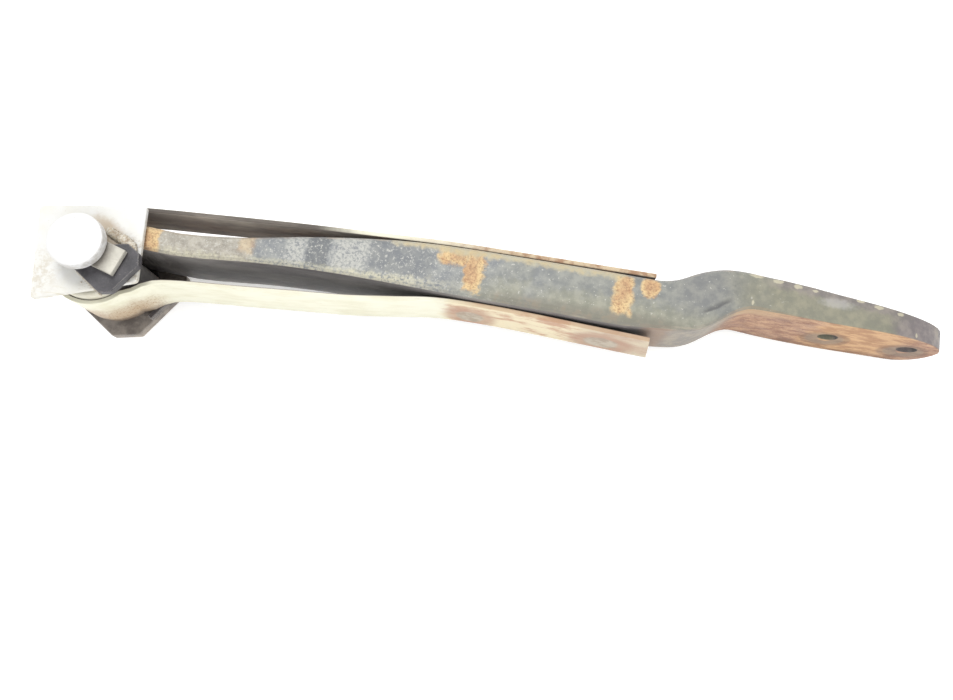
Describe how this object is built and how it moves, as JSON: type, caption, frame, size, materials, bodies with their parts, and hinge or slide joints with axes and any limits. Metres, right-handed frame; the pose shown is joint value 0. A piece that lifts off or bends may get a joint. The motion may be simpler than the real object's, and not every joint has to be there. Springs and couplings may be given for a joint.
{
  "type": "leaf spring",
  "caption": "Half leaf spring for an air suspension: thick S-bent main leaf with drilled tail pad, two thin strap leaves, bushed eye and pivot pin in a plate hanger.",
  "frame": {"origin": "bottom centre of the bounding box, on the surface that the hanger's anchor plate lies on", "axes": "+X along the axle seat from the eye to the tail, +Z along the pivot pin and across the leaves, -Y is the side that faces up on the vehicle"},
  "size_m": [0.9692, 0.163, 0.1446],
  "materials": {
    "leaf_steel": "worn dark paint with rust",
    "strap_paint": "faded cream paint, rusting",
    "strap_rust": "dull brown rust",
    "hanger_paint": "off-white paint, dirty",
    "dark_steel": "black, greasy",
    "bare_steel": "dull bare metal",
    "pin_steel": "bright, slightly worn",
    "bush_rubber": "matt"
  },
  "bodies": {
    "hanger": {"upper_cheek_plate": "hanger_paint", "lower_anchor_plate": "dark_steel", "hanger_web": "hanger_paint", "lower_thrust_washer": "bush_rubber", "upper_thrust_washer": "bush_rubber", "keeper_plate": "dark_steel", "keeper_block": "bare_steel", "pivot_pin": "pin_steel", "pin_circlip": "bare_steel", "eye_bush_sleeve": "bare_steel", "anchor_lug": "dark_steel"},
    "leaf_pack": {"main_leaf": "leaf_steel", "top_wrapper_leaf": "strap_paint", "bottom_strap_leaf": "strap_rust", "eye_bush_shell": "bare_steel", "eye_bush_rubber": "bush_rubber"}
  },
  "joints": [
    {"name": "eye_pivot", "type": "hinge", "parent": "hanger", "child": "leaf_pack", "pos_m": [-0.42327, -0.01638, 0.06], "axis": [0, 0, 1], "range_deg": [-12, 12], "stiffness_Nm_per_rad": 300}
  ]
}
